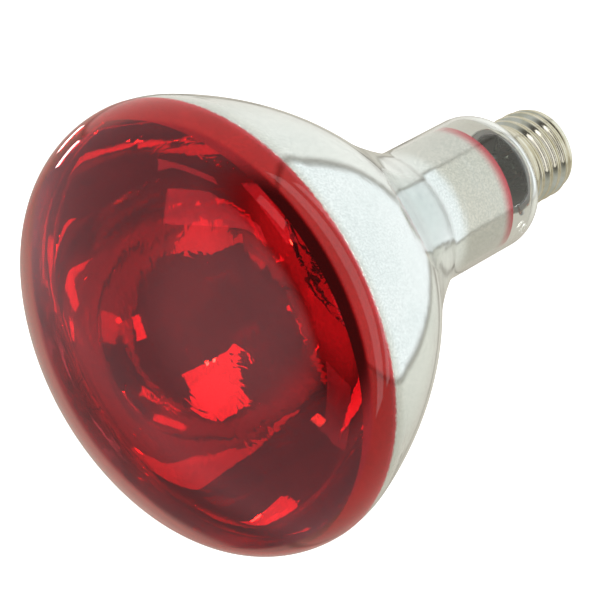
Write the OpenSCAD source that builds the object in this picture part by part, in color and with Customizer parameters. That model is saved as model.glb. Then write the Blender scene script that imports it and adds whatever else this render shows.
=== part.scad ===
// Infrared reflector lamp with an E27 screw cap, for brooding and small livestock.
// Millimetres. +Z runs along the lamp axis from the cap to the face, and z = 0 is
// the tip of the centre contact.

/* [Bulb] */
// Largest diameter of the bulb, over the ruby coating
bulb_d = 125; // [123:0.5:127]
// Overall length, from the tip of the centre contact to the middle of the face
overall_l = 174; // [172:0.5:180]
// Outer diameter of the neck
neck_d = 39.2; // [37:0.2:41]
// Thickness of the blown glass
glass_t = 1.0; // [0.8:0.1:1.4]
// Height at which the shoulder runs into the neck
shoulder_z = 34.1; // [34:0.1:35]
// Radius of the shoulder beside the cap
shoulder_r = 10; // [9.5:0.1:10.5]

/* [Bowl] */
// Radius of the throat between the neck and the bowl
throat_r = 22; // [18:1:26]
// Slope at the end of the throat, in degrees from the axis
throat_a = 27.3; // [25:0.1:30]
// Steepest slope of the bowl, in degrees from the axis
flare_a = 40.4; // [38:0.1:42]
// Radius of the reflecting bowl
bowl_r = 116.4; // [110:0.2:122]
// Slope at which the bowl runs into the rim, in degrees from the axis
rim_a = 18.6; // [16:0.1:21]
// Radius of the rim at the largest diameter
rim_r = 20; // [18:0.5:22]
// Slope at which the rim runs into the domed face, in degrees from the axis
face_a = 53.75; // [50:0.25:56]

/* [Coatings] */
// Thickness of the ruby coating outside the face
coat_t = 0.15; // [0.1:0.05:0.3]
// Thickness of the aluminium film inside the bowl
film_t = 0.08; // [0.05:0.01:0.15]
// Height at which the aluminium film starts in the neck
film_z = 41; // [38:0.5:46]
// How far the aluminium film runs past the largest diameter, in degrees round the rim
film_a = 27; // [20:1:30]

/* [Cap] */
// Outer diameter of the screw thread
thread_d = 26.2; // [26.05:0.05:26.4]
// Root diameter of the screw thread
thread_root_d = 24.32; // [24.26:0.02:24.6]
// Pitch of the screw thread, seven turns to the inch
thread_pitch = 3.629; // [3.629]
// Thickness of the nickel-plated brass sheet
sheet_t = 0.3; // [0.2:0.05:0.35]
// Height of the upper edge of the screw shell
skirt_z = 24.0; // [23.8:0.1:24.2]
// Diameter of the centre contact plate
contact_d = 9.6; // [9:0.1:10]

/* [Mount] */
// Height of the filament ring, near the focus of the bowl
filament_z = 86; // [82:1:90]
// Radius of the filament ring
ring_r = 15; // [13:0.5:17]
// Turns in the filament coil
coil_turns = 44; // [36:1:48]
// Diameter of the heat deflector disc
deflector_d = 33; // [30:0.5:35]

/* [Hidden] */
$fn = 96;

// Outer radii of the glass
glass_r = bulb_d / 2 - coat_t;
neck_r = neck_d / 2;

// Seal tube, the narrow end of the bulb that stands inside the cap
seal_r = 11;
seal_z = 13.5;
seal_fillet_r = 1.2;

// Radii of the flare and of the domed face, which close the outline
flare_r = (glass_r - rim_r - neck_r - throat_r * (1 - cos(throat_a)) + bowl_r * cos(flare_a)
           - (bowl_r - rim_r) * cos(rim_a)) / (cos(throat_a) - cos(flare_a));
face_r = rim_r + (glass_r - rim_r) / cos(face_a);

// Heights of the largest diameter and of the foot of the throat
rim_z = overall_l - coat_t - face_r + (face_r - rim_r) * sin(face_a);
throat_z = rim_z + (flare_r - throat_r) * sin(throat_a) - (flare_r + bowl_r) * sin(flare_a)
           + (bowl_r - rim_r) * sin(rim_a);

// Outward direction [r, z] of a wall whose slope from the axis is a
function outward(a) = [cos(a), -sin(a)];

// Centres [r, z] of the arcs of the outline
shoulder_c = [neck_r - shoulder_r, shoulder_z];
throat_c = [neck_r + throat_r, throat_z];
flare_c = throat_c + (flare_r - throat_r) * outward(throat_a);
bowl_c = flare_c - (flare_r + bowl_r) * outward(flare_a);
rim_c = [glass_r - rim_r, rim_z];
face_c = [0, rim_z - (face_r - rim_r) * sin(face_a)];

// The fillet between the seal tube and the shoulder touches both
fillet_dr = seal_r + seal_fillet_r - shoulder_c[0];
fillet_dz = sqrt(pow(shoulder_r + seal_fillet_r, 2) - pow(fillet_dr, 2));
fillet_c = [seal_r + seal_fillet_r, shoulder_z - fillet_dz];
fillet_a = atan2(fillet_dz, fillet_dr);

// Arc about c from slope a0 to slope a1, without its first point. A negative
// radius gives the hollow side.
function arc(c, rad, a0, a1, n) =
    [for (i = [1:n]) c + rad * outward(a0 + (a1 - a0) * i / n)];

// Outline pieces at a depth t below the outer surface, from the cap to the face
function fillet_pts(t) = concat([[seal_r - t, fillet_c[1]]],
                                arc(fillet_c, -(seal_fillet_r + t), 0, fillet_a, 5));
function shoulder_pts(t) = arc(shoulder_c, shoulder_r - t, fillet_a, 0, 12);
function bowl_pts(t) = concat([[neck_r - t, throat_z]],
                              arc(throat_c, -(throat_r + t), 0, throat_a, 8),
                              arc(flare_c, -(flare_r + t), throat_a, flare_a, 6),
                              arc(bowl_c, bowl_r - t, flare_a, rim_a, 9),
                              arc(rim_c, rim_r - t, rim_a, 0, 6));
function rim_front_pts(t) = arc(rim_c, rim_r - t, 0, -film_a, 8);
function face_pts(t) = concat(rim_front_pts(t), arc(rim_c, rim_r - t, -film_a, -face_a, 8),
                              [for (p = arc(face_c, face_r - t, -face_a, -90, 12))
                                   [max(p[0], 0), p[1]]]);
function envelope_pts(t) = concat([[seal_r - t, seal_z]], fillet_pts(t), shoulder_pts(t),
                                  bowl_pts(t), face_pts(t));
function reversed(list) = [for (i = [len(list) - 1:-1:0]) list[i]];

// A thin-walled body of revolution between two outlines that start at the same end
module revolved_wall(outer, inner) {
    rotate_extrude()
        polygon(concat(outer, reversed(inner)));
}

function unit(v) = v / norm(v);

// The path with each corner replaced by a curve that starts and ends a length b from it
function rounded(path, b) = concat([path[0]],
    [for (i = [1:len(path) - 2], k = [0:bend_steps])
        let (u = k / bend_steps, p = path[i] + b * unit(path[i - 1] - path[i]),
             q = path[i] + b * unit(path[i + 1] - path[i]))
        (1 - u) * (1 - u) * p + 2 * u * (1 - u) * path[i] + u * u * q],
    [path[len(path) - 1]]);

bend_steps = 4;

// Triangles of a tube of n rings with k sides, closed at both ends
function tube_faces(n, k) = concat(
    [for (i = [0:n - 2], j = [0:k - 1])
        let (p = i * k + j, q = i * k + (j + 1) % k) [p, p + k, q + k]],
    [for (i = [0:n - 2], j = [0:k - 1])
        let (p = i * k + j, q = i * k + (j + 1) % k) [p, q + k, q]],
    [[for (j = [0:k - 1]) j], [for (j = [k - 1:-1:0]) (n - 1) * k + j]]);

// A round wire through a list of points. The direction ref is never parallel to it.
module tube(pts, r, ref) {
    last = len(pts) - 1;
    rings = [for (i = [0:last], j = [0:wire_sides - 1])
        let (t = unit(unit(pts[min(i + 1, last)] - pts[min(i, last - 1)])
                      + unit(pts[max(i, 1)] - pts[max(i - 1, 0)])),
             side = unit(ref - (ref * t) * t), g = 360 * j / wire_sides)
        pts[i] + r * (cos(g) * side + sin(g) * cross(t, side))];
    polyhedron(points = rings, faces = tube_faces(last + 1, wire_sides));
}

wire_sides = 10;

// A round wire along a path with rounded corners
module wire(path, r, bend, ref) {
    tube(rounded(path, bend), r, ref);
}

// A round rod from a to b
module rod(a, b, r) {
    d = b - a;
    translate(a)
        rotate([0, acos(d[2] / norm(d)), atan2(d[1], d[0])])
            cylinder(h = norm(d), r = r, $fn = 24);
}

// ---- Bulb ----

module bulb_envelope()
    color([0.86, 0.90, 0.90, 0.4])
        revolved_wall(envelope_pts(0), envelope_pts(glass_t));

// Sprayed ruby lacquer, from the largest diameter over the face
module ruby_face_coating()
    color([0.62, 0.04, 0.07, 0.85])
        revolved_wall(concat([[glass_r, rim_z]], face_pts(0)),
                      concat([[glass_r + coat_t, rim_z]], face_pts(-coat_t)));

// Vapour-deposited aluminium inside the neck, the bowl and the back of the rim
module reflector_film()
    color([0.88, 0.90, 0.90])
        revolved_wall(film_pts(glass_t), film_pts(glass_t + film_t));

function film_pts(t) = concat([[neck_r - t, film_z]], bowl_pts(t), rim_front_pts(t));

// ---- Cap ----

thread_crest_r = thread_d / 2;
thread_root_r = thread_root_d / 2;
thread_mid_r = (thread_crest_r + thread_root_r) / 2;
thread_amp = (thread_crest_r - thread_root_r) / 2;
lip_r = 1.4;                 // bend at the lower edge of the shell
lip_c = [10.9, 6.6];         // centre [r, z] of that bend
lip_steps = 5;
thread_in = 1.6;             // length over which the thread rises from the lip
thread_out = 1.5;            // length over which the thread fades into the skirt
skirt_low_z = skirt_z - 1.6;
rows_per_turn = 8;
thread_rows = round((skirt_low_z - lip_c[1]) / thread_pitch * rows_per_turn);
thread_sides = 36;

function ramp(x) = let (c = min(max(x, 0), 1)) c * c * (3 - 2 * c);
function thread_rise(z) = ramp((z - lip_c[1]) / thread_in);
function thread_fade(z) = ramp((z - skirt_low_z + thread_out) / thread_out);
function shell_mid_r(z) = lip_c[0] + lip_r
    + (thread_mid_r - lip_c[0] - lip_r) * thread_rise(z)
    + (thread_crest_r - thread_mid_r) * thread_fade(z);
function shell_amp(z) = thread_amp * thread_rise(z) * (1 - thread_fade(z));
function shell_r(z, a) = shell_mid_r(z) + shell_amp(z) * cos(360 * z / thread_pitch - a);

// Points of one side of the sheet: the lip, the right-hand thread and the skirt
function shell_side(inset) = concat(
    [for (i = [0:lip_steps], k = [0:thread_sides - 1])
        let (b = -90 + 90 * i / (lip_steps + 1), a = 360 * k / thread_sides,
             r = lip_c[0] + (lip_r - inset) * cos(b))
        [r * cos(a), r * sin(a), lip_c[1] + (lip_r - inset) * sin(b)]],
    [for (i = [0:thread_rows], k = [0:thread_sides - 1])
        let (z = lip_c[1] + (skirt_low_z - lip_c[1]) * i / thread_rows,
             a = 360 * k / thread_sides, r = shell_r(z, a) - inset)
        [r * cos(a), r * sin(a), z]],
    [for (k = [0:thread_sides - 1])
        let (a = 360 * k / thread_sides, r = thread_crest_r - inset)
        [r * cos(a), r * sin(a), skirt_z]]);

module screw_shell() {
    rows = lip_steps + thread_rows + 3;
    count = rows * thread_sides;
    last = (rows - 1) * thread_sides;
    color([0.74, 0.73, 0.68])
        polyhedron(points = concat(shell_side(0), shell_side(sheet_t)), faces = concat(
            [for (i = [0:rows - 2], k = [0:thread_sides - 1])
                let (a = i * thread_sides + k, b = i * thread_sides + (k + 1) % thread_sides)
                [a, a + thread_sides, b + thread_sides, b]],
            [for (i = [0:rows - 2], k = [0:thread_sides - 1])
                let (a = count + i * thread_sides + k,
                     b = count + i * thread_sides + (k + 1) % thread_sides)
                [a, b, b + thread_sides, a + thread_sides]],
            [for (k = [0:thread_sides - 1])
                let (n = (k + 1) % thread_sides) [k, n, n + count, k + count]],
            [for (k = [0:thread_sides - 1])
                let (n = (k + 1) % thread_sides)
                [last + k, last + k + count, last + n + count, last + n]]));
}

contact_r = contact_d / 2;
contact_z = 1.0;             // underside of the contact plate
plate_t = 0.5;
eyelet_r = 1.1;              // hole for the centre lead
plate_edge_w = 0.6;          // width of the bevel round the contact plate
plate_edge_h = 0.3;          // height of that bevel

// Profile [r, z] of the moulded glass: its cone, the groove for the lip of the shell, its
// collar inside the shell and its dished top
insulator_cone = [[contact_r + 0.1, contact_z + plate_t], [contact_r + 0.7, 1.9],
                  [9.9, 4.6], [10.4, 5.2], [10.4, 6.0]];
insulator_collar = [[11.3, 6.7], [11.3, 8.6], [10.6, 9.2], [5, 7.4]];
insulator_bore_z = 6.6;

// Black glass insulator between the shell and the centre contact
module cap_insulator()
    color([0.05, 0.05, 0.055])
        rotate_extrude()
            polygon(concat([[eyelet_r, contact_z + plate_t]], insulator_cone, insulator_collar,
                           [[eyelet_r, insulator_bore_z]]));

module contact_plate()
    color([0.80, 0.68, 0.36])
        rotate_extrude()
            polygon([[eyelet_r, contact_z], [contact_r - plate_edge_w, contact_z],
                     [contact_r, contact_z + plate_edge_h], [contact_r, contact_z + plate_t],
                     [eyelet_r, contact_z + plate_t]]);

solder_flat_r = 1.9;         // flat that meets the holder's spring contact
solder_r = 3.1;

// Solder dome on the contact plate, with the flat that makes contact
module contact_solder()
    color([0.72, 0.73, 0.74])
        rotate_extrude()
            polygon(concat([[0, 0], [solder_flat_r, 0]],
                           [for (a = [15:15:90])
                               [solder_flat_r + (solder_r - solder_flat_r) * sin(a),
                                contact_z * (1 - cos(a))]],
                           [[eyelet_r, contact_z], [eyelet_r, contact_z + plate_t],
                            [0, contact_z + plate_t]]));

// ---- Leads inside and around the cap ----

outer_wire_r = 0.3;
side_wire_r = 0.25;
side_wire_bend = 0.15;       // how far from a corner the side lead starts to bend
stem_wire_x = 3.3;           // the two leads stand this far from the axis in the stem
side_wire_x = 11.55;         // the side lead runs up between the seal and the shell
stem_top_z = 52;
press_top_z = 64;
inner_wire_x = 4.5;

lead_turn_z = 11.9;          // the side lead passes under the seal at this height
lead_bow_z = 23.3;           // and starts to lean out over the shell at this one
lead_over_x = 12.75;         // where it crosses the edge of the shell
rim_wire_x = 13.45;          // it comes down on its solder here
rim_wire_z = skirt_z + 0.05;
rim_solder_r = 0.9;

// Lead from the stem, under the seal, up the slot in the cement and over the rim
module side_outer_lead()
    color([0.72, 0.42, 0.26])
        wire([[-stem_wire_x, 0, stem_top_z], [-stem_wire_x, 0, lead_turn_z],
              [-side_wire_x, 0, lead_turn_z], [-side_wire_x, 0, lead_bow_z],
              [-lead_over_x, 0, skirt_z + 0.35], [-rim_wire_x, 0, skirt_z + 0.4],
              [-rim_wire_x, 0, rim_wire_z]],
             side_wire_r, side_wire_bend, [0, 1, 0]);

// Solder that joins the side lead to the edge of the shell
module rim_solder()
    color([0.72, 0.73, 0.74])
        difference() {
            translate([-rim_wire_x, 0, skirt_z - 0.4]) sphere(rim_solder_r);
            cylinder(h = skirt_z + 1, r = thread_crest_r);
            translate([-rim_wire_x - 2, -2, rim_wire_z]) cube(4);
        }

lead_lean_z = 12;            // the centre lead leans in from here
lead_axis_z = 8.2;           // and reaches the axis here
outer_wire_bend = 0.8;

// Lead from the stem to the solder of the centre contact
module center_outer_lead()
    color([0.72, 0.42, 0.26])
        wire([[stem_wire_x, 0, stem_top_z], [stem_wire_x, 0, lead_lean_z],
              [0, 0, lead_axis_z], [0, 0, contact_z + plate_t]],
             outer_wire_r, outer_wire_bend, [0, 1, 0]);

sleeve_z = 24;
sleeve_l = 10;
sleeve_r = 1.15;
sleeve_gap = 0.15;           // between the sleeve and its wire

// Glass tube over the fuse link in the centre lead
module fuse_sleeve()
    color([0.85, 0.88, 0.86, 0.6])
        translate([stem_wire_x, 0, sleeve_z])
            difference() {
                cylinder(h = sleeve_l, r = sleeve_r, $fn = 32);
                translate([0, 0, -1])
                    cylinder(h = sleeve_l + 2, r = outer_wire_r + sleeve_gap, $fn = 32);
            }

cement_low_z = 14;
cement_r = 11.82;            // inside the roots of the thread
cement_neck_z = 21.2;        // the cement widens into the skirt from here
cement_wide_z = 22.8;        // to here
cement_top_z = 23.9;
cement_gap = 0.05;           // between the cement and the skirt
lead_gap = 0.1;              // between the side lead and its slot

cement_wide_r = thread_crest_r - sheet_t - cement_gap;
slot_w = 2 * (side_wire_r + lead_gap);

// Cement between the glass seal and the shell, with a slot for the side lead
module capping_cement()
    color([0.62, 0.58, 0.48])
        difference() {
            rotate_extrude()
                polygon(concat([[seal_r, cement_low_z]],
                               [for (p = fillet_pts(0)) if (p[1] < skirt_z) p],
                               [[cement_wide_r, cement_top_z], [cement_wide_r, cement_wide_z],
                                [cement_r, cement_neck_z], [cement_r, cement_low_z]]));
            translate([-14, -slot_w / 2, cement_low_z - 1])
                cube([14 - side_wire_x + slot_w / 2, slot_w, 12]);
        }

// ---- Stem ----

stem_r = 5.5;
stem_wall = 0.9;
flare_bend_r = 4.5;
flare_bend_c = [stem_r + flare_bend_r, seal_z + flare_bend_r];

// Lead-glass stem tube whose flared foot is fused to the end of the seal tube
module stem_flare()
    color([0.80, 0.86, 0.84, 0.5])
        rotate_extrude()
            polygon(concat(
                [[stem_r, stem_top_z]],
                [for (a = [0:10:90]) flare_bend_c - flare_bend_r * [cos(a), sin(a)]],
                [[seal_r, seal_z], [seal_r, seal_z - stem_wall]],
                [for (a = [90:-10:0])
                    flare_bend_c - (flare_bend_r + stem_wall) * [cos(a), sin(a)]],
                [[stem_r - stem_wall, stem_top_z]]));

press_w = 13;
press_t = 5;
seal_wire_r = 0.4;

// Sealing wire through the press on one side, +1 or -1
module seal_wire(side) {
    rise = 1;
    lean = (inner_wire_x - stem_wire_x) / (press_top_z - stem_top_z);
    intersection() {
        rod([side * (stem_wire_x - lean * rise), 0, stem_top_z - rise],
            [side * (inner_wire_x + lean * rise), 0, press_top_z + rise], seal_wire_r);
        translate([-10, -10, stem_top_z]) cube([20, 20, press_top_z - stem_top_z]);
    }
}

// Flattened glass press that seals the wires
module stem_press()
    color([0.80, 0.86, 0.84, 0.7])
        difference() {
            intersection() {
                translate([-press_w / 2, -press_t / 2, stem_top_z])
                    cube([press_w, press_t, press_top_z - stem_top_z]);
                translate([0, 0, stem_top_z])
                    cylinder(h = press_top_z - stem_top_z, r = press_w / 2 - 0.1);
            }
            seal_wire(1);
            seal_wire(-1);
        }

module seal_wires()
    color([0.70, 0.32, 0.22]) {
        seal_wire(1);
        seal_wire(-1);
    }

exhaust_r = 2;
exhaust_wall = 0.7;
exhaust_low_z = 10.5;

// Exhaust tube inside the stem, tipped off at its lower end
module exhaust_tube()
    color([0.80, 0.86, 0.84, 0.6])
        translate([0, 0, exhaust_low_z + exhaust_r])
            rotate_extrude()
                polygon(concat(
                    [for (a = [-90:15:0]) [exhaust_r * cos(a), exhaust_r * sin(a)]],
                    [[exhaust_r, stem_top_z - exhaust_low_z - exhaust_r],
                     [exhaust_r - exhaust_wall, stem_top_z - exhaust_low_z - exhaust_r],
                     [exhaust_r - exhaust_wall, 1], [0, 0]]));

// ---- Filament mount ----

inner_wire_r = 0.6;
ring_gap_a = 60;             // open angle of the ring, centred on -Y
ring_start_a = -90 + ring_gap_a / 2;
ring_sweep_a = 360 - ring_gap_a;
clamp_a = 5;                 // the leads stand this far past the ends of the coil
deflector_z = 66;
lead_bend_z = 70;
lead_bend = 1.2;             // how far from a corner the inner lead starts to bend
lead_below = 3;              // the lead stands upright from this far below the coil
lead_above = 1.6;            // to this far above it
clamp_r = 1.15;
clamp_h = 2;

// Place of the ring's middle line at angle a
function on_ring(a, z = filament_z) = [ring_r * cos(a), ring_r * sin(a), z];

// Inner lead on one side, +1 or -1, from the press to the end of the filament
module inner_lead(side) {
    end_a = -90 + side * (ring_gap_a / 2 - clamp_a);
    wire([[side * inner_wire_x, 0, press_top_z], [side * inner_wire_x, 0, lead_bend_z],
          on_ring(end_a, filament_z - lead_below), on_ring(end_a, filament_z + lead_above)],
         inner_wire_r, lead_bend, [1, 0, 0]);
}

module left_inner_lead() color([0.66, 0.65, 0.62]) inner_lead(-1);
module right_inner_lead() color([0.66, 0.65, 0.62]) inner_lead(1);

// Folded clamps that grip the filament's ends on the inner leads
module filament_clamps()
    color([0.60, 0.60, 0.58])
        for (side = [-1, 1]) {
            end_a = -90 + side * (ring_gap_a / 2 - clamp_a);
            translate(on_ring(end_a))
                difference() {
                    translate([0, 0, -clamp_h / 2]) cylinder(h = clamp_h, r = clamp_r, $fn = 32);
                    translate([0, 0, -clamp_h])
                        cylinder(h = 2 * clamp_h, r = inner_wire_r, $fn = 24);
                }
        }

eyelet_wall = 0.8;
eyelet_flange_w = 1.5;       // width of the eyelet's flanges beyond the lead
eyelet_flange_t = 0.8;
deflector_t = 0.4;

// Aluminium disc that keeps the heat of the bowl out of the neck
module heat_deflector()
    color([0.80, 0.80, 0.80])
        difference() {
            translate([0, 0, deflector_z]) cylinder(h = deflector_t, d = deflector_d);
            for (x = [-inner_wire_x, 0, inner_wire_x])
                translate([x, 0, deflector_z - 1])
                    cylinder(h = 3, r = inner_wire_r + eyelet_wall, $fn = 32);
        }

// Ceramic eyelets that insulate the deflector from the two leads
module deflector_eyelets()
    color([0.93, 0.92, 0.88])
        for (x = [-inner_wire_x, inner_wire_x])
            translate([x, 0, deflector_z])
                difference() {
                    union() {
                        cylinder(h = deflector_t, r = inner_wire_r + eyelet_wall, $fn = 32);
                        for (z = [-eyelet_flange_t, deflector_t])
                            translate([0, 0, z])
                                cylinder(h = eyelet_flange_t, r = inner_wire_r + eyelet_flange_w,
                                         $fn = 32);
                    }
                    translate([0, 0, -2]) cylinder(h = 5, r = inner_wire_r, $fn = 24);
                }

arbor_r = 1.2;
button_r = 2.4;
button_z = 76;
button_cut = 2;              // the button is flat this far below its middle

// Glass rod on the press
module arbor_rod()
    color([0.80, 0.86, 0.84, 0.7])
        translate([0, 0, press_top_z])
            cylinder(h = button_z - button_cut - press_top_z, r = arbor_r);

support_count = 5;
support_wire_r = 0.2;
support_loop_r = 1.5;
support_root_r = 0.8;        // the supports start this far from the axis, inside the button

function support_a(i) = ring_start_a + ring_sweep_a * (i - 0.5) / support_count;
function at_support(i, r, z) = [r * cos(support_a(i)), r * sin(support_a(i)), z];
function support_root(i) = at_support(i, support_root_r, button_z);
function support_foot(i) = at_support(i, ring_r - support_loop_r, filament_z);

// Glass button in which the supports are set
module support_button()
    color([0.80, 0.86, 0.84, 0.8])
        difference() {
            intersection() {
                translate([0, 0, button_z]) sphere(button_r, $fn = 48);
                translate([-5, -5, button_z - button_cut]) cube([10, 10, 6]);
            }
            for (i = [1:support_count])
                rod(support_root(i), support_foot(i), support_wire_r);
        }

// Molybdenum support number i: an arm from the button and an open loop round the coil
module filament_support(i) {
    a = support_a(i);
    color([0.52, 0.52, 0.54])
        tube(concat([support_root(i)],
                    [for (b = [180:20:480])
                        at_support(i, ring_r + support_loop_r * cos(b),
                                   filament_z + support_loop_r * sin(b))]),
             support_wire_r, [-sin(a), cos(a), 0]);
}

module filament_support_1() filament_support(1);
module filament_support_2() filament_support(2);
module filament_support_3() filament_support(3);
module filament_support_4() filament_support(4);
module filament_support_5() filament_support(5);

coil_r = 0.9;
coil_wire_r = 0.17;
coil_steps = 10;             // points in one turn of the coil
coil_sides = 5;

// Point on the coil's wire after a fraction u of the ring
function coil_at(u) = on_ring(ring_start_a + ring_sweep_a * u) + coil_r * coil_out(u);
function coil_out(u) = let (a = ring_start_a + ring_sweep_a * u, b = 360 * coil_turns * u)
    [cos(b) * cos(a), cos(b) * sin(a), sin(b)];

// Tungsten coil bent into an open ring
module filament_coil() {
    n = coil_turns * coil_steps;
    du = 0.2 / n;
    points = [for (i = [0:n], k = [0:coil_sides - 1])
        let (u = i / n, g = 360 * k / coil_sides, out = coil_out(u),
             across = unit(cross(unit(coil_at(u + du) - coil_at(u - du)), out)))
        coil_at(u) + coil_wire_r * (cos(g) * out + sin(g) * across)];
    color([0.36, 0.35, 0.36])
        polyhedron(points = points, faces = tube_faces(n + 1, coil_sides));
}

bulb_envelope();
ruby_face_coating();
reflector_film();
screw_shell();
cap_insulator();
contact_plate();
contact_solder();
rim_solder();
capping_cement();
stem_flare();
stem_press();
exhaust_tube();
seal_wires();
center_outer_lead();
fuse_sleeve();
side_outer_lead();
left_inner_lead();
right_inner_lead();
heat_deflector();
deflector_eyelets();
arbor_rod();
support_button();
filament_support_1();
filament_support_2();
filament_support_3();
filament_support_4();
filament_support_5();
filament_coil();
filament_clamps();
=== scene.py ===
# Infrared reflector lamp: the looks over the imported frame. Metres in Blender, millimetres in the
# outline below. +Z runs from the cap to the face.
import math

import bmesh
import bpy
from mathutils import Matrix, Vector


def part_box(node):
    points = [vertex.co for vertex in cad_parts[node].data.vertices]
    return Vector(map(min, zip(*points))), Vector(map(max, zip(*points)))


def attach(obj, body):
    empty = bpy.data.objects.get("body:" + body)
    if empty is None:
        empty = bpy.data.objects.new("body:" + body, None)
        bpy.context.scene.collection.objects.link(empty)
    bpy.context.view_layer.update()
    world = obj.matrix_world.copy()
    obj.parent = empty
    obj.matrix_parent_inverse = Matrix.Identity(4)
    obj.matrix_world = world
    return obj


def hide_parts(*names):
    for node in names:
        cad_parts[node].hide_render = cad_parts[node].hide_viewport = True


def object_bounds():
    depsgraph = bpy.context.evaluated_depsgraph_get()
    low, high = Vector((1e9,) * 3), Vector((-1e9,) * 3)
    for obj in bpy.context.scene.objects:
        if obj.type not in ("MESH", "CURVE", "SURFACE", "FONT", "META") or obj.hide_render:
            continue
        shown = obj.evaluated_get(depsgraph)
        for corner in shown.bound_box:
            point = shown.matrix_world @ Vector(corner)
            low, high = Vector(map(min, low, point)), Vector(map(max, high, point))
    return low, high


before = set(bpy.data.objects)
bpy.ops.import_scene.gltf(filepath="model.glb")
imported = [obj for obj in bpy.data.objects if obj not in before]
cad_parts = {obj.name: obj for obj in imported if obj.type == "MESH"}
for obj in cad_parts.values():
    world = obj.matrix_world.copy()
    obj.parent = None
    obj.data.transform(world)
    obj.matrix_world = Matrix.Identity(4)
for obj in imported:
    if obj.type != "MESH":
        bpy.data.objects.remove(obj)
cad_lo, cad_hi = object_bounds()
MM = 0.001

# ---- Outline of the bulb: tangent arcs, slopes in degrees from the axis ----

glass_lo, glass_hi = (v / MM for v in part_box("bulb_envelope"))
film_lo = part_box("reflector_film")[0] / MM
ruby_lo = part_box("ruby_face_coating")[0] / MM
GLASS_R = glass_hi.x
RIM_Z = ruby_lo.z            # height of the largest diameter
GLASS_T = 1.0
SEAL_R, SEAL_FILLET = 11.0, 1.2
NECK_R, SHOULDER_R, SHOULDER_Z = 19.6, 10.0, 34.1
THROAT_R, THROAT_A = 22.0, 27.3
FLARE_A, BOWL_R, RIM_A = 40.4, 116.4, 18.6
RIM_R, FACE_A = 20.0, 53.75
FILM_A = 27.0                # the film ends this far round the rim


def cosd(a):
    return math.cos(math.radians(a))


def sind(a):
    return math.sin(math.radians(a))


def step(c, r, a):
    """The point at distance r from c, in the outward direction of slope a."""
    return (c[0] + r * cosd(a), c[1] - r * sind(a))


FACE_R = RIM_R + (GLASS_R - RIM_R) / cosd(FACE_A)
FLARE_R = (GLASS_R - RIM_R - NECK_R - THROAT_R * (1 - cosd(THROAT_A)) + BOWL_R * cosd(FLARE_A)
           - (BOWL_R - RIM_R) * cosd(RIM_A)) / (cosd(THROAT_A) - cosd(FLARE_A))
THROAT_Z = (RIM_Z + (FLARE_R - THROAT_R) * sind(THROAT_A) - (FLARE_R + BOWL_R) * sind(FLARE_A)
            + (BOWL_R - RIM_R) * sind(RIM_A))
shoulder_c = (NECK_R - SHOULDER_R, SHOULDER_Z)
throat_c = (NECK_R + THROAT_R, THROAT_Z)
flare_c = step(throat_c, FLARE_R - THROAT_R, THROAT_A)
bowl_c = step(flare_c, -(FLARE_R + BOWL_R), FLARE_A)
rim_c = (GLASS_R - RIM_R, RIM_Z)
face_c = (0.0, RIM_Z - (FACE_R - RIM_R) * sind(FACE_A))
fillet_dr = SEAL_R + SEAL_FILLET - shoulder_c[0]
fillet_dz = math.sqrt((SHOULDER_R + SEAL_FILLET) ** 2 - fillet_dr ** 2)
fillet_c = (SEAL_R + SEAL_FILLET, SHOULDER_Z - fillet_dz)
FILLET_A = math.degrees(math.atan2(fillet_dz, fillet_dr))


def arc(c, r, a0, a1, spacing=1.1):
    """Points about c from slope a0 to a1, without the first."""
    n = max(3, math.ceil(abs(r) * math.radians(abs(a1 - a0)) / spacing))
    return [step(c, r, a0 + (a1 - a0) * i / n) for i in range(1, n + 1)]


def line(p, q, spacing=1.6):
    n = max(1, math.ceil(math.dist(p, q) / spacing))
    return [(p[0] + (q[0] - p[0]) * i / n, p[1] + (q[1] - p[1]) * i / n) for i in range(1, n + 1)]


def neck_outline(t, z0):
    """The neck and the bowl from height z0 to the largest diameter, at depth t in the glass."""
    start = (NECK_R - t, z0)
    return ([start] + line(start, (NECK_R - t, THROAT_Z)) + arc(throat_c, -(THROAT_R + t), 0, THROAT_A)
            + arc(flare_c, -(FLARE_R + t), THROAT_A, FLARE_A) + arc(bowl_c, BOWL_R - t, FLARE_A, RIM_A)
            + arc(rim_c, RIM_R - t, RIM_A, 0))


def rim_outline(t, a1):
    return arc(rim_c, RIM_R - t, 0, -a1, 0.5)


def face_outline(t):
    dome = arc(face_c, FACE_R - t, -FACE_A, -90)
    return arc(rim_c, RIM_R - t, -FILM_A, -FACE_A, 0.5) + dome[:-1] + [(0.0, face_c[1] + FACE_R - t)]


def bulb_outline(t):
    seal = (SEAL_R - t, glass_lo.z)
    foot = (SEAL_R - t, fillet_c[1])
    low = [seal] + line(seal, foot) + arc(fillet_c, -(SEAL_FILLET + t), 0, FILLET_A, 0.25)
    low += arc(shoulder_c, SHOULDER_R - t, FILLET_A, 0, 0.4)
    return low + neck_outline(t, SHOULDER_Z)[1:] + rim_outline(t, FILM_A) + face_outline(t)


# ---- Mesh helpers ----

ON_AXIS = 1e-6               # a point nearer the axis than this is on it, in millimetres


def piece(name, verts, faces, slot, mat, nodes):
    """A mesh from points in millimetres, riding on the root, that stands for CAD nodes."""
    mesh = bpy.data.meshes.new(name)
    mesh.from_pydata([(x * MM, y * MM, z * MM) for x, y, z in verts], [], faces)
    mesh.validate()
    mesh.shade_smooth()
    ob = bpy.data.objects.new(name, mesh)
    bpy.context.scene.collection.objects.link(ob)
    mesh.materials.append(mat)
    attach(ob, "root")
    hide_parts(*nodes)
    return ob


def sharpen(ob, degrees=60):
    """Marks the edges that turn more than this as sharp."""
    bm = bmesh.new()
    bm.from_mesh(ob.data)
    limit = math.radians(degrees)
    for e in bm.edges:
        e.smooth = not (e.is_manifold and e.calc_face_angle(0) > limit)
    bm.to_mesh(ob.data)
    bm.free()


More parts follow.
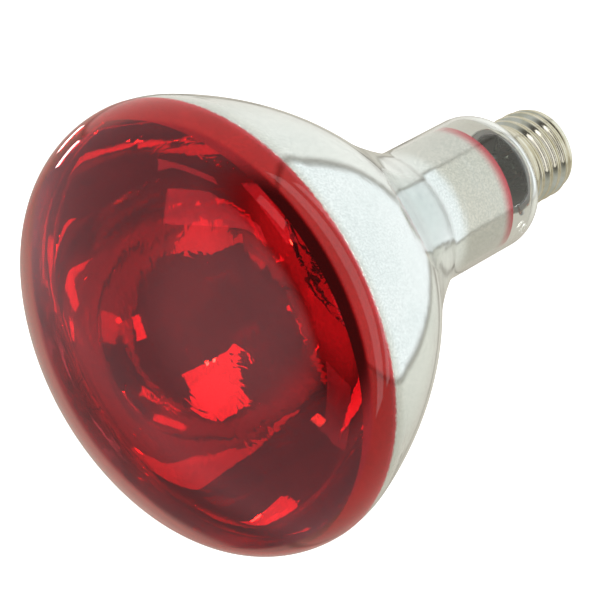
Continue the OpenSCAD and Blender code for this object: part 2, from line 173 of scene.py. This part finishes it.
def lathe(ring, sides):
    """A closed ring of (r, z) points turned about the axis. Points on the axis become single
    vertices."""
    verts, index = [], []
    for r, z in ring:
        if r < ON_AXIS:
            index.append([len(verts)] * sides)
            verts.append((0.0, 0.0, z))
            continue
        row = []
        for k in range(sides):
            a = 2 * math.pi * k / sides
            row.append(len(verts))
            verts.append((r * math.cos(a), r * math.sin(a), z))
        index.append(row)
    faces = []
    for i in range(len(ring)):
        p, q = index[i], index[(i + 1) % len(ring)]
        for k in range(sides):
            n = (k + 1) % sides
            quad = [p[k], p[n], q[n], q[k]]
            quad = [v for j, v in enumerate(quad) if v != quad[j - 1]]
            if len(quad) > 2:
                faces.append(quad)
    return verts, faces


# ---- Materials ----

def new_material(name):
    mat = bpy.data.materials.new(name)
    mat.use_nodes = True
    return mat, mat.node_tree, mat.node_tree.nodes["Principled BSDF"]


def put(nt, kind, inputs, **props):
    """A node whose inputs are values or the outputs of other nodes."""
    n = nt.nodes.new(kind)
    for k, v in props.items():
        setattr(n, k, v)
    for k, v in inputs.items():
        if isinstance(v, bpy.types.NodeSocket):
            nt.links.new(v, n.inputs[k])
        else:
            n.inputs[k].default_value = v
    return n


def noise(nt, scale, detail=3.0, rough=0.55, stretch=(1, 1, 1), distortion=0.0):
    """Noise over the object's own coordinates. scale is in cells per metre."""
    place = put(nt, "ShaderNodeMapping", {"Vector": coords(nt), "Scale": stretch})
    return put(nt, "ShaderNodeTexNoise", {"Vector": place.outputs[0], "Scale": scale, "Detail": detail,
                                          "Roughness": rough, "Distortion": distortion}).outputs[0]


def coords(nt):
    return put(nt, "ShaderNodeTexCoord", {}).outputs["Object"]


def height(nt):
    return put(nt, "ShaderNodeSeparateXYZ", {0: coords(nt)}).outputs["Z"]


def span(nt, value, lo, hi, out_lo=0.0, out_hi=1.0):
    """A smooth step from out_lo at lo to out_hi at hi."""
    return put(nt, "ShaderNodeMapRange", {"Value": value, "From Min": lo, "From Max": hi,
                                          "To Min": out_lo, "To Max": out_hi},
               interpolation_type="SMOOTHSTEP").outputs[0]


def maths(nt, op, a, b=0.0):
    return put(nt, "ShaderNodeMath", {0: a, 1: b}, operation=op).outputs[0]


def distance_from(nt, value, middle):
    return maths(nt, "ABSOLUTE", maths(nt, "SUBTRACT", value, middle))


def blend(nt, fac, a, b):
    """The colour a where fac is 0 and b where it is 1."""
    n = nt.nodes.new("ShaderNodeMix")
    n.data_type = "RGBA"
    for socket, v in ((n.inputs[0], fac), (n.inputs[6], a), (n.inputs[7], b)):
        if isinstance(v, bpy.types.NodeSocket):
            nt.links.new(v, socket)
        else:
            socket.default_value = (*v, 1.0)
    return n.outputs[2]


def bump(nt, value, strength, distance):
    return put(nt, "ShaderNodeBump", {"Height": value, "Strength": strength,
                                      "Distance": distance}).outputs[0]


def link(nt, value, socket):
    nt.links.new(value, socket)


def metal(name, colour, dark, rough, scale, stretch=(1, 1, 1), bumps=0.15, depth=0.00002):
    """A metal with patches of a darker tone, and fine marks in its roughness and surface."""
    mat, nt, b = new_material(name)
    patches = span(nt, noise(nt, scale, 4, 0.6, stretch), 0.35, 0.7)
    marks = noise(nt, scale * 9, 3, 0.6, stretch)
    link(nt, blend(nt, patches, colour, dark), b.inputs["Base Color"])
    link(nt, span(nt, marks, 0.3, 0.7, rough * 0.7, rough * 1.4), b.inputs["Roughness"])
    link(nt, bump(nt, marks, bumps, depth), b.inputs["Normal"])
    b.inputs["Metallic"].default_value = 1.0
    return mat


CORD_DEPTH = 0.0004          # metres


def clear(name, tint, tint_2, scale, rough=0.0, ior=1.5, waves=0.0):
    """Clear glass with cords of a second tint, and faint waves in its surface."""
    mat, nt, b = new_material(name)
    cords = span(nt, noise(nt, scale, 3, 0.5, (1, 1, 0.35), 0.6), 0.3, 0.7)
    link(nt, blend(nt, cords, tint, tint_2), b.inputs["Base Color"])
    link(nt, bump(nt, cords, waves, CORD_DEPTH), b.inputs["Normal"])
    b.inputs["Transmission Weight"].default_value = 1.0
    b.inputs["IOR"].default_value = ior
    b.inputs["Roughness"].default_value = rough
    return mat


# Clear hard glass of the bulb
mat_glass = clear("clear_glass", (0.965, 0.972, 0.962), (0.935, 0.95, 0.94), 55, waves=0.03)

# Ruby lacquer, thinning out through a sprayed edge at the largest diameter
mat_ruby, nt, b = new_material("ruby_lacquer")
tone = span(nt, noise(nt, 60, 3), 0.3, 0.7)
link(nt, blend(nt, tone, (0.84, 0.058, 0.085), (0.78, 0.047, 0.072)), b.inputs["Base Color"])
b.inputs["Transmission Weight"].default_value = 1.0
b.inputs["IOR"].default_value = 1.5
b.inputs["Roughness"].default_value = 0.0
EDGE_FEATHER = 1.2           # height over which the sprayed edge fades, in millimetres
EDGE_DROP = 0.2              # how far below the largest diameter it starts
wander = maths(nt, "MULTIPLY", noise(nt, 900, 4, 0.7), EDGE_FEATHER * MM)
edge = maths(nt, "ADD", height(nt), wander)
edge_z = (RIM_Z - EDGE_DROP) * MM
link(nt, span(nt, edge, edge_z, edge_z + EDGE_FEATHER * MM), b.inputs["Alpha"])

# Aluminium mirror film: speckled, a little wavy, with painted shade in two darker rings round the
# throat that stand in for dark reflections, and a painted red glow at its thin end in the neck.
# Heights are in millimetres up the lamp.
# The two rings of painted shade in the film's colour, standing in for dark reflections
PAINTED_DARK_RINGS = [(70.0, 3.2, 0.62), (93.0, 7.0, 0.50)]      # height, half width and strength
SATIN_FROM, SATIN_TO, SATIN_ROUGH = 46.0, 78.0, 0.17       # the film is satin in the neck
CALM_FROM, CALM_TO = 106.0, 130.0                          # its waves die out towards the rim
WAVE_DEPTH, WAVE_STRENGTH, RIM_STRENGTH = 0.6, 1.0, 0.05
# Where the painted red glow at the film's end fades out, and the colours of the painted shade and the
# painted glow
GLOW_FROM, GLOW_TO = film_lo.z + 0.2, film_lo.z + 4.2
PAINTED_DARK, PAINTED_RED_GLOW = (0.36, 0.35, 0.32), (0.74, 0.07, 0.12)


def ring(nt, z, half, amount):
    """amount at the height z, fading out over half on both sides."""
    return span(nt, distance_from(nt, height(nt), z * MM), 0.0, half * MM, amount, 0.0)


mat_film, nt, b = new_material("mirror_film")
b.inputs["Metallic"].default_value = 1.0
speck = span(nt, noise(nt, 1700, 2, 0.7), 0.40, 0.64)
film_colour = blend(nt, speck, (0.80, 0.83, 0.83), (0.945, 0.955, 0.96))
uneven = span(nt, noise(nt, 45, 2), 0.25, 0.75, 0.55, 1.25)
# Painted shade: darker rings in the film's colour, for dark things the mirror reflects round the
# throat
dark_ring_shade = maths(nt, "MAXIMUM", ring(nt, *PAINTED_DARK_RINGS[0]), ring(nt, *PAINTED_DARK_RINGS[1]))
film_colour = blend(nt, maths(nt, "MULTIPLY", dark_ring_shade, uneven), film_colour, PAINTED_DARK)
# Painted light: the film's colour turns red towards its end in the neck, for red light from inside the
# bulb shining through the thin film
red_glow = span(nt, height(nt), GLOW_FROM * MM, GLOW_TO * MM, 1.0, 0.0)
link(nt, blend(nt, red_glow, film_colour, PAINTED_RED_GLOW), b.inputs["Base Color"])
satin = span(nt, height(nt), SATIN_FROM * MM, SATIN_TO * MM, SATIN_ROUGH, 0.0)
link(nt, maths(nt, "ADD", satin, span(nt, speck, 0, 1, 0.035, 0.012)), b.inputs["Roughness"])
streaks = maths(nt, "MULTIPLY", noise(nt, 110, 2, 0.5, (1, 1, 1.6), 1.2), 0.12)
waves = maths(nt, "ADD", noise(nt, 40, 1, 0.5), streaks)
strength = span(nt, height(nt), CALM_FROM * MM, CALM_TO * MM, WAVE_STRENGTH, RIM_STRENGTH)
link(nt, bump(nt, waves, strength, WAVE_DEPTH * MM), b.inputs["Normal"])

# Cap: nickel plate, black glass, brass, solder and cement
mat_nickel = metal("nickel_plate", (0.80, 0.77, 0.66), (0.66, 0.62, 0.47), 0.12, 160)
mat_black, nt, b = new_material("black_glass")
link(nt, blend(nt, noise(nt, 400, 4), (0.008, 0.008, 0.010), (0.022, 0.020, 0.024)),
     b.inputs["Base Color"])
link(nt, bump(nt, noise(nt, 260, 3), 0.35, 0.0003), b.inputs["Normal"])
b.inputs["Roughness"].default_value = 0.14
mat_brass = metal("brass", (0.78, 0.60, 0.30), (0.50, 0.36, 0.18), 0.28, 500)
mat_solder = metal("solder", (0.66, 0.67, 0.68), (0.40, 0.40, 0.41), 0.36, 700, bumps=0.5,
                   depth=0.0001)
mat_cement, nt, b = new_material("cement")
link(nt, blend(nt, noise(nt, 900, 5, 0.7), (0.60, 0.57, 0.50), (0.80, 0.76, 0.68)),
     b.inputs["Base Color"])
link(nt, bump(nt, noise(nt, 1800, 5, 0.7), 0.6, 0.0002), b.inputs["Normal"])
b.inputs["Roughness"].default_value = 0.92

# Mount: stem glass, copper, wires, deflector, eyelets and filament
mat_stem = clear("stem_glass", (0.93, 0.955, 0.94), (0.85, 0.91, 0.885), 260, 0.03, 1.54, 0.25)
mat_copper = metal("copper", (0.72, 0.36, 0.22), (0.34, 0.16, 0.10), 0.34, 900)
mat_wire = metal("nickel_wire", (0.60, 0.58, 0.54), (0.40, 0.38, 0.35), 0.30, 800)
mat_disc = metal("aluminium_disc", (0.80, 0.80, 0.81), (0.62, 0.62, 0.63), 0.22, 260, (1, 14, 1))
mat_ceramic, nt, b = new_material("ceramic")
link(nt, blend(nt, noise(nt, 1500, 4), (0.80, 0.79, 0.74), (0.68, 0.66, 0.60)), b.inputs["Base Color"])
link(nt, bump(nt, noise(nt, 3000, 3), 0.3, 0.0001), b.inputs["Normal"])
b.inputs["Roughness"].default_value = 0.6
mat_moly = metal("molybdenum", (0.38, 0.38, 0.40), (0.22, 0.22, 0.24), 0.4, 900)
mat_tungsten = metal("tungsten", (0.30, 0.30, 0.31), (0.16, 0.16, 0.17), 0.42, 1500)

# ---- Bulb, film and lacquer ----

SIDES = 192                  # of the glass, the film and the lacquer
outer, inner = bulb_outline(0), bulb_outline(GLASS_T)
bulb = piece("bulb", *lathe(outer + inner[::-1], SIDES), "clear_glass", mat_glass, ["bulb_envelope"])
sharpen(bulb)

# The film lies just inside the glass
FILM_GAP, FILM_T = 0.03, 0.08
d0, d1 = GLASS_T + FILM_GAP, GLASS_T + FILM_GAP + FILM_T
film_out = neck_outline(d0, film_lo.z) + rim_outline(d0, FILM_A)
film_in = neck_outline(d1, film_lo.z) + rim_outline(d1, FILM_A)
film = piece("mirror", *lathe(film_out + film_in[::-1], SIDES), "mirror_film", mat_film,
             ["reflector_film"])
sharpen(film)

# The lacquer lies just outside it, and starts a few degrees behind the rim, where its sprayed
# edge fades out
COAT_GAP, COAT_T = 0.03, 0.12
EDGE_A = 7.0
coats = []
for t in (-(COAT_GAP + COAT_T), -COAT_GAP):
    behind = arc(rim_c, RIM_R - t, EDGE_A, 0, 0.3)
    coats.append([step(rim_c, RIM_R - t, EDGE_A)] + behind + rim_outline(t, FILM_A) + face_outline(t))
ruby = piece("ruby_lacquer", *lathe(coats[0] + coats[1][::-1], SIDES), "ruby_lacquer", mat_ruby,
             ["ruby_face_coating"])
sharpen(ruby)

# ---- Screw cap ----

shell_lo, shell_hi = (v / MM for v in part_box("screw_shell"))
CREST_R, ROOT_R, PITCH, SHEET = shell_hi.x, 12.16, 3.629, 0.3
LIP_R, LIP_C = 1.4, (10.9, 6.6)
SKIRT_Z = shell_hi.z - 1.6   # where the thread has run out into the plain skirt
THREAD_IN, THREAD_OUT = 1.6, 1.5
LIP_ROWS, THREAD_ROWS, SHELL_SIDES = 9, 108, 128
SKIRT_ROWS = (1.1, 0.5, 0.12, 0.0)       # below the top edge


def ease(x):
    c = min(max(x, 0.0), 1.0)
    return c * c * (3 - 2 * c)


def thread_r(z, a):
    """Radius of the right-hand thread at the height z and the angle a."""
    rise, fade = ease((z - LIP_C[1]) / THREAD_IN), ease((z - SKIRT_Z + THREAD_OUT) / THREAD_OUT)
    low = LIP_C[0] + LIP_R
    mid, amp = (CREST_R + ROOT_R) / 2, (CREST_R - ROOT_R) / 2
    middle = low + (mid - low) * rise + (CREST_R - mid) * fade
    return middle + amp * rise * (1 - fade) * math.cos(2 * math.pi * z / PITCH - a)


def shell_rows(inset):
    """Rows of (r, z) points of one side of the sheet: the lip, the thread and the skirt."""
    rows = []
    for i in range(LIP_ROWS):
        slope = math.radians(-90 + 90 * i / LIP_ROWS)
        r = LIP_C[0] + (LIP_R - inset) * math.cos(slope)
        z = LIP_C[1] + (LIP_R - inset) * math.sin(slope)
        rows.append([(r, z)] * SHELL_SIDES)
    for i in range(THREAD_ROWS + 1):
        z = LIP_C[1] + (SKIRT_Z - LIP_C[1]) * i / THREAD_ROWS
        rows.append([(thread_r(z, 2 * math.pi * k / SHELL_SIDES) - inset, z)
                     for k in range(SHELL_SIDES)])
    for below in SKIRT_ROWS:
        rows.append([(CREST_R - inset, shell_hi.z - below)] * SHELL_SIDES)
    return rows


def screw_shell():
    rows, sides = shell_rows(0.0) + shell_rows(SHEET)[::-1], SHELL_SIDES
    verts = [(r * math.cos(2 * math.pi * k / sides), r * math.sin(2 * math.pi * k / sides), z)
             for row in rows for k, (r, z) in enumerate(row)]
    n = len(rows)
    faces = [[i * sides + k, i * sides + (k + 1) % sides, (i + 1) % n * sides + (k + 1) % sides,
              (i + 1) % n * sides + k] for i in range(n) for k in range(sides)]
    return verts, faces


sharpen(piece("screw_cap_shell", *screw_shell(), "nickel_plate", mat_nickel, ["screw_shell"]))

# ---- CAD nodes that keep their own mesh ----

KEPT = {
    "cap_insulator": mat_black, "contact_plate": mat_brass, "contact_solder": mat_solder,
    "rim_solder": mat_solder, "capping_cement": mat_cement, "stem_flare": mat_stem,
    "stem_press": mat_stem, "exhaust_tube": mat_stem, "seal_wires": mat_copper,
    "center_outer_lead": mat_copper, "fuse_sleeve": mat_stem, "side_outer_lead": mat_copper,
    "left_inner_lead": mat_wire, "right_inner_lead": mat_wire, "heat_deflector": mat_disc,
    "deflector_eyelets": mat_ceramic, "arbor_rod": mat_stem, "support_button": mat_stem,
    "filament_clamps": mat_wire, "filament_coil": mat_tungsten,
    **{f"filament_support_{i}": mat_moly for i in range(1, 6)},
}
for name, mat in KEPT.items():
    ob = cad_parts[name]
    ob.data.materials.clear()
    ob.data.materials.append(mat)

# ---- Floor, light and camera ----

scene = bpy.context.scene
centre = (cad_lo + cad_hi) / 2

# A round floor that curves up into a low wall: radius and height in metres
FLOOR, FLOOR_SIDES = [(4.0, 0.0), (5.0, 0.15), (5.6, 0.5), (5.9, 1.1), (6.0, 1.9), (6.0, 3.0)], 96
floor_verts = [(r * cosd(360 * k / FLOOR_SIDES), r * sind(360 * k / FLOOR_SIDES), z)
               for r, z in FLOOR for k in range(FLOOR_SIDES)]
floor_faces = [list(range(FLOOR_SIDES))]
for i in range(len(FLOOR) - 1):
    for k in range(FLOOR_SIDES):
        p, q = i * FLOOR_SIDES + k, i * FLOOR_SIDES + (k + 1) % FLOOR_SIDES
        floor_faces.append([p, p + FLOOR_SIDES, q + FLOOR_SIDES, q])
floor_mesh = bpy.data.meshes.new("floor")
floor_mesh.from_pydata(floor_verts, [], floor_faces)
floor_mesh.shade_smooth()
floor = bpy.data.objects.new("floor", floor_mesh)
scene.collection.objects.link(floor)
mat_floor, nt, b = new_material("floor")
b.inputs["Base Color"].default_value = (0.7, 0.7, 0.7, 1.0)
b.inputs["Roughness"].default_value = 0.9
b.inputs["Specular IOR Level"].default_value = 0.0
b.inputs["Emission Color"].default_value = (1.0, 1.0, 1.0, 1.0)
b.inputs["Emission Strength"].default_value = 0.80
floor_mesh.materials.append(mat_floor)
floor.visible_glossy = False        # the mirrors see the room's own light from below
floor.visible_transmission = False


def bearing(azimuth, elevation):
    """Direction at an azimuth from +Y towards +X and an elevation, in degrees."""
    return Vector((sind(azimuth) * cosd(elevation), cosd(azimuth) * cosd(elevation), sind(elevation)))


# The room, as the lamp's mirrors see it: a room above, and below it a table with a corner
world = bpy.data.worlds.new("studio")
scene.world = world
world.use_nodes = True
nt = world.node_tree
sky = nt.nodes["Background"]
sight = put(nt, "ShaderNodeTexCoord", {}).outputs["Generated"]


def toward(direction):
    """Cosine of the angle between the line of sight and a direction."""
    return put(nt, "ShaderNodeVectorMath", {0: sight, 1: Vector(direction).normalized()},
               operation="DOT_PRODUCT").outputs["Value"]


# Sideways and straight down: the colours of the three parts of the table
WHITE_SIDE, WHITE_DOWN = (0.78, 0.76, 0.67), (1.03, 1.08, 1.08)
WARM_SIDE, WARM_DOWN = (0.78, 0.76, 0.69), (0.96, 0.97, 0.92)
BEIGE_SIDE, BEIGE_DOWN = (0.56, 0.53, 0.45), (0.80, 0.80, 0.72)
SEAM = (0.30, 0.28, 0.24)
down = span(nt, toward((0, 0, -1)), 0.66, 0.90)
white = blend(nt, down, WHITE_SIDE, WHITE_DOWN)
warm = blend(nt, down, WARM_SIDE, WARM_DOWN)
beige = blend(nt, down, BEIGE_SIDE, BEIGE_DOWN)

# The two straight edges of the table's corner, each close to the plane through the lamp at right
# angles to a direction, with a dark seam along it
EDGE_1, EDGE_2 = (0.6255, -0.6456, -0.4373), (-0.728, -0.594, -0.343)
beyond_1 = span(nt, toward(EDGE_1), 0.05, 0.03)
beyond_2 = span(nt, toward(EDGE_2), 0.055, 0.035)
seam_1 = span(nt, distance_from(nt, toward(EDGE_1), 0.04), 0.0, 0.04, 0.75, 0.0)
seam_2 = span(nt, distance_from(nt, toward(EDGE_2), 0.045), 0.0, 0.05, 0.75, 0.0)
below = blend(nt, beyond_2, white, warm)
below = blend(nt, beyond_1, below, beige)
below = blend(nt, maths(nt, "MAXIMUM", seam_1, seam_2), below, SEAM)

# The room above the table: dim round the camera, bright overhead, dim low down behind the lamp
PALE, DIM = (0.52, 0.56, 0.58), (0.078, 0.074, 0.070)
OVERHEAD, LOW_BEHIND = (1.0, 0.95, 0.97), (0.24, 0.21, 0.21)
above = blend(nt, span(nt, toward(bearing(185, 26)), 0.30, 0.72), PALE, DIM)
above = blend(nt, span(nt, toward((0, 0, 1)), 0.80, 0.98), above, OVERHEAD)
above = blend(nt, span(nt, toward(bearing(345, 0)), 0.80, 0.97), above, LOW_BEHIND)
horizon = span(nt, toward((0, 0, 1)), -0.16, -0.04)
link(nt, blend(nt, horizon, below, above), sky.inputs["Color"])
sky.inputs["Strength"].default_value = 1.0


def softbox(name, azimuth, elevation, wide, high, radiance, roll=0.0, distance=1.6, colour=(1, 1, 1),
            about=centre):
    """A rectangular softbox that faces the point about. wide and high are the angles it fills from
    there, in degrees."""
    light = bpy.data.lights.new(name, "AREA")
    light.shape = "RECTANGLE"
    light.size = 2 * distance * math.tan(math.radians(wide / 2))
    light.size_y = 2 * distance * math.tan(math.radians(high / 2))
    light.energy = radiance * 4 * light.size * light.size_y
    light.color = colour
    ob = bpy.data.objects.new(name, light)
    d = bearing(azimuth, elevation)
    ob.location = about + d * distance
    ob.rotation_mode = "QUATERNION"
    side = Vector((0, 0, 1)).cross(d).normalized()
    rise = d.cross(side)
    turn = Matrix((side, rise, d)).transposed() @ Matrix.Rotation(math.radians(roll), 3, "Z")
    ob.rotation_quaternion = turn.to_quaternion()
    ob.visible_camera = False
    scene.collection.objects.link(ob)
    return ob


# Boxes and lamps that the mirror behind the face shows, kept out of the gloss of the face itself
for box in (softbox("key_box", 147.5, 24.5, 31, 15, 1.75, roll=-20),
            softbox("left_box", 95, 41, 28, 5, 1.8),
            softbox("upper_box", 112, 58, 42, 10, 2.0),
            softbox("right_box", 250, 38, 30, 27, 0.95),
            softbox("streak_box", 199, 17, 13, 2.6, 1.7),
            softbox("right_lamp", 268, 51, 3.5, 3.5, 10.0, colour=(1.0, 0.85, 0.4)),
            softbox("key_lamp", 163.5, 30, 2.6, 1.4, 130.0, roll=-30, colour=(1.0, 0.8, 0.25))):
    box.visible_glossy = False

# Two small boxes close to the cap, which light its thread from the front
cap_middle = Vector((0.0, 0.0, (shell_lo.z + shell_hi.z) / 2 * MM))
CAP_LIGHT = 0.16             # their distance from the cap, in metres
for strip in (softbox("cap_strip_1", 190, 13, 84, 11, 0.95, distance=CAP_LIGHT, about=cap_middle),
              softbox("cap_strip_2", 190, 35, 84, 15, 0.85, distance=CAP_LIGHT, about=cap_middle)):
    strip.visible_transmission = False

# A faint haze on the face, and two highlights on its rim
softbox("key_haze", 148, 24, 16, 10, 0.5)
softbox("rim_light_1", 40, 0, 3.0, 11, 9.0, roll=-55)
softbox("rim_light_2", 33, -19, 2.6, 8, 9.0, roll=-20)

camera_data = bpy.data.cameras.new("camera")
camera = bpy.data.objects.new("camera", camera_data)
scene.collection.objects.link(camera)
scene.camera = camera
ELEVATION, ROLL = math.radians(39.41), math.radians(118.9)
AIM, DISTANCE = Vector((-0.0046, 0.0, 0.1098)), 0.7726
back = Vector((0.0, -math.cos(ELEVATION), math.sin(ELEVATION)))
level_up = Vector((0.0, math.sin(ELEVATION), math.cos(ELEVATION)))
up = math.sin(ROLL) * Vector((1.0, 0.0, 0.0)) + math.cos(ROLL) * level_up
right = up.cross(back)
camera.matrix_world = Matrix.Translation(AIM + back * DISTANCE) @ Matrix((
    (right.x, up.x, back.x, 0.0), (right.y, up.y, back.y, 0.0), (right.z, up.z, back.z, 0.0),
    (0.0, 0.0, 0.0, 1.0)))
camera_data.lens = 176.4
camera_data.sensor_width = 36.0
camera_data.dof.use_dof = False
camera_data.clip_start, camera_data.clip_end = 0.01, 50.0

scene.view_settings.view_transform = "Standard"
scene.view_settings.look = "None"
cycles = scene.cycles
cycles.max_bounces = 28
cycles.transmission_bounces = 28
cycles.glossy_bounces = 16
cycles.transparent_max_bounces = 24
cycles.diffuse_bounces = 3
cycles.caustics_reflective = True
cycles.caustics_refractive = True
cycles.sample_clamp_indirect = 60.0
cycles.use_denoising = True
